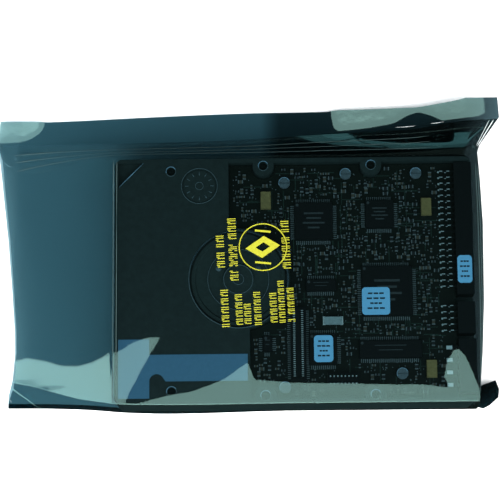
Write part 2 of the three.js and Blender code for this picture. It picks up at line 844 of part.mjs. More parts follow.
const powerPinSet = Array.from({ length: powerPins }, (_, i) => {
  const y = powerCentreY + (i - (powerPins - 1) / 2) * powerPitch;
  return [bentPin(y, pinReach, powerPinWidth), socketPin(y, 0, powerPinWidth)];
}).flat();
const interfacePins = pinRows(interfaceRows, interfaceCentreY, pinPitch, interfaceKeyRow);
const jumperPins = pinRows(jumperRows, jumperCentreY, jumperPitch, -1);
const interfaceSocket = interfaceLength - 2 * housingWall;
const jumperSocket = jumperLength - 2 * housingWall;
const powerSocket = powerLength - 2 * housingWall;
add(
  "interface_connector",
  connectorGeometry(interfaceCentreY, interfaceLength, interfacePins, interfaceSocket),
  mouldedBlack,
);
add("jumper_block", connectorGeometry(jumperCentreY, jumperLength, jumperPins, jumperSocket), mouldedBlack);
add("power_connector", connectorGeometry(powerCentreY, powerLength, powerPinSet, powerSocket), mouldedBlack);

// Blank stickers.
function stickerGeometry([x, y], size, foot) {
  const [length, width] = stretched(size);
  return slab(roundedRectangle(x, y, length, width, stickerCorner), foot, stickerThickness, 3);
}
const chipFace = boardTop + seatGap + stickerGap;
add(
  "controller_sticker",
  stickerGeometry(stretched([33.2, -9.2]), [11.4, 11.4], chipFace + chipHeight),
  paper,
);
add("driver_sticker", stickerGeometry(stretched([11.5, -28.6]), [7.8, 11], chipFace + chipHeight), paper);
add(
  "connector_sticker",
  stickerGeometry([(endX + boardRight) / 2, across(3.5)], [6, 11.5], housingTop + stickerGap),
  paper,
);

// The foil sticker on the casting, shaped round one of its bosses.
function castingStickerGeometry() {
  const left = -endX + castingStickerEdge;
  const right = along(boardLeftNear) - castingStickerEdge + boardGap / 2;
  const leg = left + castingStickerLeg;
  const levels = [castingStickerTop, castingStickerShelf, castingStickerStep, castingStickerFoot];
  const [top, shelf, step, foot] = levels.map(across);
  const notchFoot = step - castingStickerNotch;
  const shape = new THREE.Shape();
  shape.moveTo(left, top);
  shape.lineTo(left, foot);
  shape.lineTo(leg, foot);
  shape.lineTo(leg, notchFoot);
  shape.absarc(leg + castingStickerNotch, notchFoot, castingStickerNotch, Math.PI, Math.PI / 4, true);
  shape.lineTo(leg + 2.2 * castingStickerNotch, notchFoot);
  shape.lineTo(right, notchFoot);
  shape.lineTo(right, shelf);
  shape.lineTo(leg, shelf);
  shape.lineTo(leg, top);
  return slab(shape, driveTop + stickerGap, stickerThickness, 5);
}
add("casting_sticker", castingStickerGeometry(), paper);

export default group;
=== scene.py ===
"""A metallised static shielding bag with a disk drive in it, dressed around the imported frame.

Lengths in this file are millimetres in the frame's axes: X from the bag's mouth to its fold, Y towards
the side seal that shows, Z up. Meshes are scaled to metres when they are made.
"""

import math

import bpy
import numpy as np
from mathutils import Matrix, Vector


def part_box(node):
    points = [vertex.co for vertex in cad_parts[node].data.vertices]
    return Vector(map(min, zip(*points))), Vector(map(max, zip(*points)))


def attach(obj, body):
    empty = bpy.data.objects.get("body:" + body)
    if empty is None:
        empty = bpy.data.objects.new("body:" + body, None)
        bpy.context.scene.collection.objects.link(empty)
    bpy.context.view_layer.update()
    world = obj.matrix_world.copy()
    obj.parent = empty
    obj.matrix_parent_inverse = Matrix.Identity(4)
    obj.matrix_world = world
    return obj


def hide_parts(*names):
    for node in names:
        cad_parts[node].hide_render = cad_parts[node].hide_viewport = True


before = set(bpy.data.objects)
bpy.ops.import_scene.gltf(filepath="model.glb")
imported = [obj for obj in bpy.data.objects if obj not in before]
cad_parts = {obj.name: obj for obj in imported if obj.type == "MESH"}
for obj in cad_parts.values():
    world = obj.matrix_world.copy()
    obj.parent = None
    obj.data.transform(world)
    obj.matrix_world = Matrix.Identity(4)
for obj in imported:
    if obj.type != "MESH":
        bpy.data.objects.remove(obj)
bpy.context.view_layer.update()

MM = 0.001


def node_box(name):
    """The lowest and the highest corner of a CAD node's box."""
    low, high = (np.array(corner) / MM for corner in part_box(name))
    return low, high


DRIVE_TOP = node_box("drive_base")[1][2]
SIDE_Y = node_box("drive_base")[1][1]
BOARD_TOP = node_box("circuit_board")[1][2]


# Camera and light

VIEW_ELEVATION = math.radians(79)
VIEW_DISTANCE = 818
VIEW_TARGET = (-18.0, 17.5, 0.0)
VIEW_ROLL = math.radians(-0.6)
LENS = 139
SENSOR_WIDTH = 36


def make_camera():
    data = bpy.data.cameras.new("camera")
    data.lens = LENS
    data.sensor_width = SENSOR_WIDTH
    camera = bpy.data.objects.new("camera", data)
    bpy.context.scene.collection.objects.link(camera)
    x, y, z = VIEW_TARGET
    back = VIEW_DISTANCE * math.cos(VIEW_ELEVATION)
    up = VIEW_DISTANCE * math.sin(VIEW_ELEVATION)
    camera.location = (x * MM, (y - back) * MM, (z + up) * MM)
    camera.rotation_euler = (math.pi / 2 - VIEW_ELEVATION, 0, 0)
    camera.rotation_euler.rotate_axis("Z", VIEW_ROLL)
    bpy.context.scene.camera = camera


# The film mirrors the overhead panel wherever its slope across the bag is steep enough: about 3.5
# degrees at the near side and 9.5 degrees at the far side.
PANEL_HEIGHT = 1200
PANEL_FAR_EDGE = -60
PANEL_BRIGHT_EDGE = -290
PANEL_NEAR_EDGE = -2600
PANEL_WIDTH = 12000
EDGE_RADIANCE = 4.2
PANEL_RADIANCE = 7.1
BACK_STRIP_PLACE = (0, 2600, 900)
BACK_STRIP_SIZE = (5000, 160)
BACK_STRIP_RADIANCE = 0.9
BACK_STRIP_TILT = math.radians(-70)
ROOM_TINT = (0.9, 0.97, 1, 1)
ROOM_STRENGTH = 0.04


def add_panel(name, centre, size, radiance, rotation=(0, 0, 0)):
    light = bpy.data.lights.new(name, "AREA")
    light.shape = "RECTANGLE"
    light.size, light.size_y = (length * MM for length in size)
    light.energy = radiance * math.pi * light.size * light.size_y
    lamp = bpy.data.objects.new(name, light)
    lamp.location = [length * MM for length in centre]
    lamp.rotation_euler = rotation
    bpy.context.scene.collection.objects.link(lamp)


def add_overhead(name, far_edge, near_edge, radiance):
    middle = (far_edge + near_edge) / 2
    add_panel(name, (0, middle, PANEL_HEIGHT), (PANEL_WIDTH, far_edge - near_edge), radiance)


def make_lights():
    add_overhead("panel_edge", PANEL_FAR_EDGE, PANEL_BRIGHT_EDGE, EDGE_RADIANCE)
    add_overhead("panel", PANEL_BRIGHT_EDGE, PANEL_NEAR_EDGE, PANEL_RADIANCE)
    add_panel("back_strip", BACK_STRIP_PLACE, BACK_STRIP_SIZE, BACK_STRIP_RADIANCE, (BACK_STRIP_TILT, 0, 0))
    world = bpy.data.worlds.new("world")
    world.use_nodes = True
    background = world.node_tree.nodes["Background"]
    background.inputs["Color"].default_value = ROOM_TINT
    background.inputs["Strength"].default_value = ROOM_STRENGTH
    bpy.context.scene.world = world


# Materials

# What one ply of film lets through and what it mirrors, in red, green and blue.
FILM_TRANSMISSION = (0.33, 0.445, 0.48)
MIRROR_SHARE = 0.071
MIRROR_TINT = (0.4, 0.7, 0.64, 1)
MIRROR_ROUGHNESS = 0.06
FILM_GRAIN_SCALE = 260
FILM_GRAIN_STRENGTH = 0.05
FILM_GRAIN_DEPTH = 0.0004
# Beside the drive, and more so towards the folded end, little light comes up from below; this shade is
# painted into the film's tint. The X of each stop, and the share of light left there under the seal and
# under the lower ply.
SHADE_STOPS = (-80, -66, -13, -5, 72)
SEAL_SHADE = (1, 1, 0.95, 0.42, 0.38)
LOWER_SHADE = (1, 0.8, 0.75, 0.25, 0.1)
FINISH_SPECULAR = 0.12
FINISH_GRAIN_DEPTH = 0.0002


def new_material(name):
    material = bpy.data.materials.new(name)
    material.use_nodes = True
    tree = material.node_tree
    tree.nodes.clear()
    output = tree.nodes.new("ShaderNodeOutputMaterial")
    return material, tree, output


def shade_film(tree, clear, tint, shares):
    """Paints shade into see-through film by its place along the bag."""
    place = tree.nodes.new("ShaderNodeTexCoord")
    axes = tree.nodes.new("ShaderNodeSeparateXYZ")
    span = tree.nodes.new("ShaderNodeMapRange")
    span.inputs["From Min"].default_value = SHADE_STOPS[0] * MM
    span.inputs["From Max"].default_value = SHADE_STOPS[-1] * MM
    ramp = tree.nodes.new("ShaderNodeValToRGB")
    while len(ramp.color_ramp.elements) < len(SHADE_STOPS):
        ramp.color_ramp.elements.new(0.5)
    for element, stop, share in zip(ramp.color_ramp.elements, SHADE_STOPS, shares):
        element.position = (stop - SHADE_STOPS[0]) / (SHADE_STOPS[-1] - SHADE_STOPS[0])
        element.color = (*(channel * share for channel in tint), 1)
    tree.links.new(place.outputs["Object"], axes.inputs[0])
    tree.links.new(axes.outputs["X"], span.inputs["Value"])
    tree.links.new(span.outputs["Result"], ramp.inputs[0])
    tree.links.new(ramp.outputs[0], clear.inputs["Color"])


def film_material(name, plies, shares=None):
    """Metallised film: tinted see-through, with a teal mirror over it."""
    material, tree, output = new_material(name)
    tint = [channel**plies / (1 - MIRROR_SHARE) for channel in FILM_TRANSMISSION]
    clear = tree.nodes.new("ShaderNodeBsdfTransparent")
    clear.inputs["Color"].default_value = (*tint, 1)
    if shares:
        shade_film(tree, clear, tint, shares)
    mirror = tree.nodes.new("ShaderNodeBsdfAnisotropic")
    mirror.inputs["Color"].default_value = MIRROR_TINT
    mirror.inputs["Roughness"].default_value = MIRROR_ROUGHNESS
    mix = tree.nodes.new("ShaderNodeMixShader")
    mix.inputs[0].default_value = MIRROR_SHARE
    tree.links.new(clear.outputs[0], mix.inputs[1])
    tree.links.new(mirror.outputs[0], mix.inputs[2])
    coords = tree.nodes.new("ShaderNodeTexCoord")
    grain = tree.nodes.new("ShaderNodeTexNoise")
    grain.inputs["Scale"].default_value = FILM_GRAIN_SCALE
    grain.inputs["Detail"].default_value = 3
    bump = tree.nodes.new("ShaderNodeBump")
    bump.inputs["Strength"].default_value = FILM_GRAIN_STRENGTH
    bump.inputs["Distance"].default_value = FILM_GRAIN_DEPTH
    tree.links.new(coords.outputs["Object"], grain.inputs["Vector"])
    tree.links.new(grain.outputs[0], bump.inputs["Height"])
    tree.links.new(bump.outputs[0], mirror.inputs["Normal"])
    tree.links.new(mix.outputs[0], output.inputs["Surface"])
    return material


def surface_material(
    name, colour, roughness, metallic=0.0, bump_scale=800, bump=0.1, variation=0.15
):
    """A plain solid finish with fine grain and a slow change of shade."""
    material, tree, output = new_material(name)
    shader = tree.nodes.new("ShaderNodeBsdfPrincipled")
    shader.inputs["Metallic"].default_value = metallic
    shader.inputs["Specular IOR Level"].default_value = FINISH_SPECULAR
    coords = tree.nodes.new("ShaderNodeTexCoord")
    noise = tree.nodes.new("ShaderNodeTexNoise")
    noise.inputs["Scale"].default_value = bump_scale
    noise.inputs["Detail"].default_value = 4
    tree.links.new(coords.outputs["Object"], noise.inputs["Vector"])
    shade = tree.nodes.new("ShaderNodeValToRGB")
    low = [channel * (1 - variation) for channel in colour]
    high = [min(channel * (1 + variation), 1) for channel in colour]
    shade.color_ramp.elements[0].color = (*low, 1)
    shade.color_ramp.elements[0].position = 0.3
    shade.color_ramp.elements[1].color = (*high, 1)
    shade.color_ramp.elements[1].position = 0.7
    tree.links.new(noise.outputs[0], shade.inputs[0])
    tree.links.new(shade.outputs[0], shader.inputs["Base Color"])
    shader.inputs["Roughness"].default_value = roughness
    relief = tree.nodes.new("ShaderNodeBump")
    relief.inputs["Strength"].default_value = bump
    relief.inputs["Distance"].default_value = FINISH_GRAIN_DEPTH
    tree.links.new(noise.outputs[0], relief.inputs["Height"])
    tree.links.new(relief.outputs[0], shader.inputs["Normal"])
    tree.links.new(shader.outputs[0], output.inputs["Surface"])
    return material


# The floor

PAPER_WHITE = 0.96
# The paper's colour in the film's mirror, a painted dark reflection.
PAPER_IN_MIRROR = 0.06
OPEN_PAPER_GLOW = 0.08
FLOOR_REACH = 6000
FLOOR_DEPTH = -0.1


def floor_material(name, glow_strength):
    """White paper, which the camera can see a little brighter than it is lit."""
    material, tree, output = new_material(name)
    path = tree.nodes.new("ShaderNodeLightPath")
    # Painted dark reflection: glossy rays see the paper at PAPER_IN_MIRROR, so in the film the floor is as
    # dark as the studio round it.
    shade = tree.nodes.new("ShaderNodeMapRange")
    shade.inputs["To Min"].default_value = PAPER_WHITE
    shade.inputs["To Max"].default_value = PAPER_IN_MIRROR
    tree.links.new(path.outputs["Is Glossy Ray"], shade.inputs["Value"])
    diffuse = tree.nodes.new("ShaderNodeBsdfDiffuse")
    tree.links.new(shade.outputs["Result"], diffuse.inputs["Color"])
    glow = tree.nodes.new("ShaderNodeEmission")
    strength = tree.nodes.new("ShaderNodeMath")
    strength.operation = "MULTIPLY"
    strength.inputs[1].default_value = glow_strength
    tree.links.new(path.outputs["Is Camera Ray"], strength.inputs[0])
    tree.links.new(strength.outputs[0], glow.inputs["Strength"])
    add = tree.nodes.new("ShaderNodeAddShader")
    tree.links.new(diffuse.outputs[0], add.inputs[0])
    tree.links.new(glow.outputs[0], add.inputs[1])
    tree.links.new(add.outputs[0], output.inputs["Surface"])
    return material


def make_floor(outline):
    """The floor, in two shades: what the bag covers, and the brighter rest."""
    middle = np.mean(outline, axis=0)
    count = len(outline)
    away = outline - middle
    far = middle + away / np.linalg.norm(away, axis=1)[:, None] * FLOOR_REACH
    points = [(x, y, FLOOR_DEPTH) for x, y in np.concatenate([outline, far])]
    faces = [tuple(range(count))]
    faces += [(i, count + i, count + (i + 1) % count, (i + 1) % count) for i in range(count)]
    shades = [floor_material("covered_paper", 0.0), floor_material("open_paper", OPEN_PAPER_GLOW)]
    floor = make_mesh("floor", points, faces, shades, [0] + [1] * count, smooth=False)


# Meshes


def make_mesh(name, points, faces, materials, face_slots=None, smooth=True):
    mesh = bpy.data.meshes.new(name)
    mesh.from_pydata([tuple(np.array(p) * MM) for p in points], [], faces)
    for material in materials:
        mesh.materials.append(material)
    if face_slots is not None:
        mesh.polygons.foreach_set("material_index", face_slots)
    mesh.polygons.foreach_set("use_smooth", [smooth] * len(mesh.polygons))
    mesh.update()
    piece = bpy.data.objects.new(name, mesh)
    bpy.context.scene.collection.objects.link(piece)
    return piece


# The bag's film

LIP_X = -121
# The film bends down beyond the drive's ends, at this distance from the middle.
BEND_X = 74.2
# The rails along the bag. The film bears on the drive's long edges and falls away at both ends.
NEAR_SHOULDER = {
    "x": [-122, -114, -106, -98, -90, -82, -74, -66, 0, 75],
    "y": [-38.4, -40.3, -42.5, -45.2, -47.6, -49.3, -50.6, -51.0, -51.1, -51.1],
    "z": [2.2, 6.2, 10.5, 14.8, 19.2, 23.4, 26.6, 27.25, 27.25, 27.25],
}
FAR_SHOULDER = {
    "x": [-122, -114, -106, -98, -90, -82, -74, -66, 0, 75],
    "y": [45.4, 47.2, 48.6, 49.6, 50.4, 50.9, 51.2, 51.3, 51.3, 51.4],
    "z": [2.8, 7.0, 11.5, 15.8, 20.2, 24.2, 27.0, 27.4, 27.4, 27.4],
}
SEAL_ROOT = {
    "x": [-124, -92, -68.8, -18, 8.7, 33.8, 53.6, 65.1, 87],
    "y": [63.8, 64.2, 64.4, 65.6, 67.0, 67.8, 68.5, 70.0, 72.8],
    "z": [0.4, 0.4, 0.4, 0.6, 1.2, 3.0, 5.0, 7.0, 9.0],
}
SEAL_EDGE = {
    "x": [-124, -115, -92, -68.8, -18, 15.8, 45.1, 57, 69, 87],
    "y": [74.1, 73.9, 74.4, 75.4, 77.0, 77.1, 77.4, 77.9, 79.3, 83.8],
}
LIP_LINE = {
    "y": [-51, -47, -43, -37, -26, -17, 0, 22, 39, 48, 56, 64, 74],
    "x": [
        -119.4, -119.7, -119.4, -117.9, -117.0, -117.2, -118.5, -120.4, -122.4, -123.4, -124.4, -125.4,
        -124.2,
    ],
}
FOLD_LINE = {
    "y": [-51.3, -41.4, -38, -27.9, -6.7, 26, 44.9, 57.4, 64.5, 71.8, 84],
    "x": [75.8, 76.5, 77.0, 77.9, 79.2, 79.7, 78.9, 78.0, 83.0, 88.2, 87.4],
    "z": [7, 9, 9, 10, 10.5, 11, 12, 13, 12, 10, 11],
}
# The fold along the table on the near side.
FOOT_LINE = {
    "x": [-124, -98, -84, -73, 0, 78],
    "y": [-48.9, -49.3, -50.0, -50.95, -51.0, -51.1],
}
# The upper lip stands back from the lower one between the two sides.
UPPER_LIP_SETBACK = 1.3
SETBACK_NEAR = -49
SETBACK_FAR = 63
FILM_ON_TABLE = 0.12
FOLD_FOOT_HEIGHT = 2.5
KNEE_SLOPE = 1.4


def rail(table, key, x):
    """A smooth line through a rail's points."""
    at, values = np.array(table["x"], float), np.array(table[key], float)
    slopes = np.gradient(values, at)
    i = int(np.clip(np.searchsorted(at, x) - 1, 0, len(at) - 2))
    span = at[i + 1] - at[i]
    t = np.clip((x - at[i]) / span, 0, 1)
    start = (2 * t**3 - 3 * t**2 + 1) * values[i] + (t**3 - 2 * t**2 + t) * span * slopes[i]
    end = (3 * t**2 - 2 * t**3) * values[i + 1] + (t**3 - t**2) * span * slopes[i + 1]
    return start + end


# Where the film leans enough to mirror the panel: outlines in X and Y, and the extra slope inside each.
TENT_GLEAM = [
    (-124, -28.6), (-118.2, -28.3), (-115.7, -27.8), (-105.8, -30.2), (-97.9, -32.8), (-90.5, -33.7),
    (-83.1, -32.9), (-77.5, -30.8), (-71.5, -28.6), (-71.5, -58), (-124, -58),
]
CORNER_GLEAM = [
    (-74, -30.4), (-72.0, -29.3), (-65.0, -24.9), (-58.9, -23.2), (-54.0, -23.4), (-58.1, -29.9),
    (-63.0, -38.7), (-67.1, -46.6), (-69.4, -52.5), (-69.4, -58), (-74, -58),
]
NEAR_GLEAM = [
    (-69.4, -52.3), (-63.0, -50.0), (-52.7, -47.5), (-42.5, -45.8), (-34.4, -43.1), (-28.2, -40.4),
    (-22.5, -36.2), (-19.2, -34.1), (-16.6, -41.2), (-2.9, -42.5), (9.0, -42.9), (25.3, -43.3),
    (53.5, -44.0), (58.4, -45.0), (62.1, -45.2), (59.7, -41.2), (60.9, -34.6), (63.8, -30.0),
    (66.6, -30.0), (69.3, -33.7), (71.4, -38.7), (74, -45.4), (80, -50), (80, -58), (-69.4, -58),
]
SEAL_GLEAM_LEFT = [
    (-128, 78), (-103.4, 78), (-103.6, 72), (-105.1, 69.1), (-108.5, 66.5), (-112.3, 65.2), (-128, 64.4),
]
SEAL_GLEAM_RIGHT = [
    (16, 80), (17, 74), (18, 70), (20, 68.2), (33.8, 69.3), (44, 71.0), (50, 74.2), (54, 75.4), (59, 73.8),
    (64, 71.2), (86, 73.0), (89, 74.2), (80, 74.8), (78.2, 76.8), (77.4, 90), (16, 90),
]
GLEAMS = [
    (TENT_GLEAM, 0.2),
    (CORNER_GLEAM, 0.03),
    (NEAR_GLEAM, 0.07),
    (SEAL_GLEAM_LEFT, 0.09),
    (SEAL_GLEAM_RIGHT, 0.09),
]
GLEAM_FADE = 2.0
GLEAM_RISE = 2.5


def mirror_lean(y):
    """The lean at which the film starts to mirror the panel, as a slope."""
    camera_y = VIEW_TARGET[1] - VIEW_DISTANCE * math.cos(VIEW_ELEVATION)
    camera_z = VIEW_DISTANCE * math.sin(VIEW_ELEVATION)
    to_camera = np.arctan((y - camera_y) / (camera_z - DRIVE_TOP))
    to_panel = np.arctan((y - PANEL_FAR_EDGE) / (PANEL_HEIGHT - DRIVE_TOP))
    return np.tan((to_camera + to_panel) / 2)


def inside_distance(outline, x, y):
    """Distance to an outline, positive inside it."""
    outline = np.array(outline, float)
    nearest = np.full(x.shape, 1e9)
    inside = np.zeros(x.shape, bool)
    for (ax, ay), (bx, by) in zip(outline, np.roll(outline, -1, axis=0)):
        ex, ey = bx - ax, by - ay
        along = np.clip(((x - ax) * ex + (y - ay) * ey) / (ex * ex + ey * ey), 0, 1)
        nearest = np.minimum(nearest, np.hypot(x - ax - along * ex, y - ay - along * ey))
        crosses = (ay > y) != (by > y)
        with np.errstate(divide="ignore", invalid="ignore"):
            inside ^= crosses & (x < ax + (y - ay) * ex / np.where(ey == 0, 1e-9, ey))
    return np.where(inside, nearest, -nearest)


def lean(x, y, rest):
    """The film's slope across the bag: rest where it's dark, and steeper in the gleams."""
    result = np.full(x.shape, rest)
    threshold = mirror_lean(y)
    for outline, extra in GLEAMS:
        depth = inside_distance(outline, x, y)
        # From the rest lean, up through the threshold at the outline, to the full lean inside.
        outer = result + (threshold - result) * np.clip(1 + depth / GLEAM_FADE, 0, 1) ** 2
        inner = threshold + extra * np.clip(depth / GLEAM_RISE, 0, 1) ** 0.8
        result = np.where(depth > 0, inner, outer)
    return result


def smooth_fall(start, end, steps, first, last):
    """Points on a curve in (y, z) from start to end, with a handle at each."""
    t = np.linspace(0, 1, steps + 1)[1:, None]
    return (1 - t) ** 3 * start + 3 * (1 - t) ** 2 * t * first + 3 * (1 - t) * t**2 * last + t**3 * end


# The film's grid: rows from the near foot over the drive to the seal, and columns from mouth to fold.
WALL_ROWS = 24
TOP_ROWS = 150
SLOPE_ROWS = 44
SEAL_ROWS = 14
UNDER_ROWS = 40
TUCK_ROWS = 3
TENT_COLUMNS = 70
DRIVE_COLUMNS = 180
END_COLUMNS = 14
SEAL_START = WALL_ROWS + TOP_ROWS + SLOPE_ROWS
WRINKLE = 0.28
TUCK_WIDTH = 2
TUCK_HEIGHT = 0.04


def column_section(x):
    """The upper ply's section at one X, from the near foot to the seal's edge, as (y, z) rows."""
    near = np.array([rail(NEAR_SHOULDER, "y", x), rail(NEAR_SHOULDER, "z", x)])
    far = np.array([rail(FAR_SHOULDER, "y", x), rail(FAR_SHOULDER, "z", x)])
    root = np.array([rail(SEAL_ROOT, "y", x), rail(SEAL_ROOT, "z", x)])
    edge_y = rail(SEAL_EDGE, "y", x)
    # The film lies on the table up to a knee, and stands steeply from there to the shoulder.
    foot_y = rail(FOOT_LINE, "y", x)
    knee_y = max(foot_y + 0.1, near[0] - near[1] / KNEE_SLOPE)
    knee_z = FILM_ON_TABLE + 0.02 * (knee_y - foot_y)
    path_y = [foot_y, knee_y, near[0]]
    path_z = [FILM_ON_TABLE, knee_z, near[1]]
    t = np.linspace(0, 2, WALL_ROWS + 1)
    wall = np.column_stack([np.interp(t, [0, 1, 2], path_y), np.interp(t, [0, 1, 2], path_z)])

    y = np.linspace(near[0], far[0], TOP_ROWS + 1)
    step = y[1] - y[0]
    slope = lean(np.full(y.shape, x), y, 0.0)
    rise = np.concatenate([[0], np.cumsum((slope[1:] + slope[:-1]) / 2 * step)])
    calm = np.clip(1 - slope / mirror_lean(y), 0, 1)
    settle = np.concatenate([[0], np.cumsum((calm[1:] + calm[:-1]) / 2)])
    z = near[1] + rise + (far[1] - near[1] - rise[-1]) * settle / settle[-1]
    top = np.stack([y, z], 1)[1:]

    # The far slope hangs from the drive's edge to the seal, with long soft wrinkles.
    width = root[0] - far[0]
    first = far + np.array([0.3 * width, -0.25 * (far[1] - root[1])])
    last = root + np.array([-0.35 * width, 0.02])
    fall = smooth_fall(far, root, SLOPE_ROWS, first, last)
    along = np.linspace(0, 1, SLOPE_ROWS + 1)[1:]
    wave = np.sin(2 * math.pi * (2.6 * along + 0.012 * x + 0.3 * math.sin(0.05 * x)))
    fall[:, 1] += WRINKLE * wave * np.sin(math.pi * along) * (0.6 + 0.4 * math.sin(0.11 * x + 1))

    y = np.linspace(root[0], edge_y, SEAL_ROWS + 1)
    slope = lean(np.full(y.shape, x), y, 0.02)
    rise = np.concatenate([[0], np.cumsum((slope[1:] + slope[:-1]) / 2 * (y[1] - y[0]))])
    seal = np.stack([y, root[1] + rise], 1)[1:]
    return np.concatenate([wall, top, fall, seal])


def tent_share(x):
    """How far a column has come from the drive to the lips."""
    return np.clip((x + BEND_X) / (LIP_X + BEND_X), 0, 1)


def lip_shift(y):
    """How far the lips stand from LIP_X at a place across the bag."""
    return np.interp(y, LIP_LINE["y"], LIP_LINE["x"]) - LIP_X


def film_grid():
    """All points of the upper ply, column by column."""
    tent = np.linspace(LIP_X, -BEND_X, TENT_COLUMNS, endpoint=False)
    over = np.linspace(-BEND_X, BEND_X, DRIVE_COLUMNS)
    columns = []
    for x in np.concatenate([tent, over]):
        section = column_section(x)
        y = section[:, 0]
        setback = UPPER_LIP_SETBACK * np.clip((y - SETBACK_NEAR) / 8, 0, 1)
        setback *= np.clip((SETBACK_FAR - y) / 6, 0, 1)
        columns.append(np.column_stack([x + (lip_shift(y) + setback) * tent_share(x), section]))
    last = columns[-1]
    fold_x = np.interp(last[:, 1], FOLD_LINE["y"], FOLD_LINE["x"])
    fold_z = np.interp(last[:, 1], FOLD_LINE["y"], FOLD_LINE["z"])
    fold_z[:WALL_ROWS] = np.linspace(FOLD_FOOT_HEIGHT, fold_z[WALL_ROWS], WALL_ROWS)
    for t in np.linspace(0, 1, END_COLUMNS + 1)[1:]:
        column = last.copy()
        column[:, 0] += (fold_x - last[:, 0]) * t**0.9
        column[:, 2] += (fold_z - last[:, 2]) * t**1.25
        columns.append(column)
    return np.array(columns)


def lower_grid(upper):
    """The lower ply under each column, from the seal's root back to the near foot."""
    columns = []
    for i, column in enumerate(upper):
        root, foot = column[SEAL_START], column[0]
        y = np.linspace(root[1], foot[1], UNDER_ROWS + 1)
        share = 1 - i / TENT_COLUMNS if i < TENT_COLUMNS else 0
        x = foot[0] + (lip_shift(y) - lip_shift(foot[1])) * share
        z = np.full(y.shape, FILM_ON_TABLE)
        lift = np.clip((y - SIDE_Y) / (root[1] - SIDE_Y), 0, 1)
        z += (root[2] - FILM_ON_TABLE) * lift**5
        past = i - (len(upper) - 1 - END_COLUMNS)
        if past > 0:
            t = past / END_COLUMNS
            fold_x = np.interp(y, FOLD_LINE["y"], FOLD_LINE["x"])
            fold_z = np.interp(y, FOLD_LINE["y"], FOLD_LINE["z"])
            x = BEND_X + (fold_x - BEND_X) * t**0.8
            z = np.maximum(z, FILM_ON_TABLE + (fold_z - FILM_ON_TABLE) * t**1.6)
        under = np.column_stack([x, y, z])
        under[0] = root
        under[-1] = foot
        columns.append(under)
    return np.array(columns)


def tuck_grid(upper):
    """The near seal, folded in under the bag."""
    columns = []
    for column in upper:
        foot_x, foot_y = column[0][:2]
        rows = np.linspace(foot_y, foot_y + TUCK_WIDTH, TUCK_ROWS + 1)
        columns.append([(foot_x, y, TUCK_HEIGHT) for y in rows])
    return np.array(columns)


def grid_faces(columns, rows, start):
    faces = []
    for i in range(columns - 1):
        for j in range(rows - 1):
            a = start + i * rows + j
            faces.append((a, a + rows, a + rows + 1, a + 1))
    return faces


# The near corner at the folded end, pressed into a creased ear.
EAR = [
    (76.2, -42.4, 4.4), (78.8, -41.2, 3.8), (83.8, -39.3, 2.6), (85.1, -43.1, 2.9), (84.7, -46.6, 3.3),
    (80.8, -50.0, 4.0), (78.0, -51.4, 4.3), (74.8, -50.4, 4.2), (77.5, -46.8, 4.6), (83.7, -43.0, 3.3),
]
EAR_FACETS = [(0, 8, 1), (1, 8, 9, 2), (2, 9, 3), (9, 8, 4, 3), (8, 5, 4), (8, 7, 6, 5), (0, 7, 8)]
EAR_GAP = 0.3


def make_bag():
    """The bag as one mesh, with its own film for the top, for the sealed parts and for the lower ply."""
    upper = film_grid()
    lower = lower_grid(upper)
    tuck = tuck_grid(upper)
    ear = np.array(EAR)
    count, rows = upper.shape[:2]
    top, sealed, bottom = 0, 1, 2

    faces = grid_faces(count, rows, 0)
    slots = [sealed if (face[0] % rows) >= SEAL_START else top for face in faces]
    under = grid_faces(count, lower.shape[1], count * rows)
    faces += [tuple(reversed(face)) for face in under]
    slots += [bottom] * len(under)
    tuck_start = count * rows + lower.shape[0] * lower.shape[1]
    folded = grid_faces(count, tuck.shape[1], tuck_start)
    faces += folded
    slots += [sealed] * len(folded)
    ear_start = tuck_start + tuck.shape[0] * tuck.shape[1]
    for first in (ear_start, ear_start + len(EAR)):
        faces += [tuple(first + i for i in facet) for facet in EAR_FACETS]
        slots += [sealed] * len(EAR_FACETS)

    sheets = [upper, lower, tuck, ear, ear - (0, 0, EAR_GAP)]
    points = np.concatenate([sheet.reshape(-1, 3) for sheet in sheets])
    films = [
        film_material("shielding_film", 1),
        # The sealed and lower film carry painted shade along the bag.
        film_material("sealed_film", 2, SEAL_SHADE),
        film_material("lower_film", 1, LOWER_SHADE),
    ]
    bag = make_mesh("shielding_bag_film", points, faces, films, slots)
    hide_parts("shielding_bag")
    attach(bag, "root")
    return upper


# Finishes of the drive's solids


def dress_solids():
    """Gives every CAD node its finish. What isn't named here is moulded black plastic."""
    casting = surface_material("black_electrocoat", (0.017, 0.0235, 0.0215), 0.5, bump_scale=500, bump=0.25)
    cover = surface_material("satin_aluminium", (0.7, 0.71, 0.72), 0.38, 1.0)
    laminate = surface_material("solder_mask", (0.004, 0.0055, 0.0037), 0.4, bump_scale=300)
    moulded = surface_material("moulded_black", (0.0026, 0.003, 0.003), 0.5, bump_scale=1200)
    steel = surface_material("zinc_plate", (0.1, 0.12, 0.13), 0.4, 0.3)
    motor = surface_material("turned_steel", (0.02, 0.028, 0.025), 0.5, 0.1)
    ochre = surface_material("tantalum_resin", (0.17, 0.12, 0.045), 0.45)
    pale = surface_material("pale_ceramic", (0.2, 0.24, 0.24), 0.5)
    paper = surface_material("white_sticker", (0.2, 0.46, 0.68), 0.55, variation=0.03)
    foil = surface_material("silver_sticker", (0.075, 0.16, 0.24), 0.5, variation=0.05)
    finishes = {
        "drive_base": casting,
        "drive_cover": cover,
        "spindle_motor": motor,
        "circuit_board": laminate,
        "resonator": pale,
        "casting_sticker": foil,
        "controller_sticker": paper,
        "driver_sticker": paper,
        "connector_sticker": paper,
    }
    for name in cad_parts:
        finish = finishes.get(name)
        if name.startswith("tantalum"):
            finish = ochre
        if name.startswith("board_screw"):
            finish = steel
        piece = bpy.data.objects[name]
        for material_slot in piece.material_slots:
            material_slot.material = finish or moulded


# Small parts, made as many-part meshes


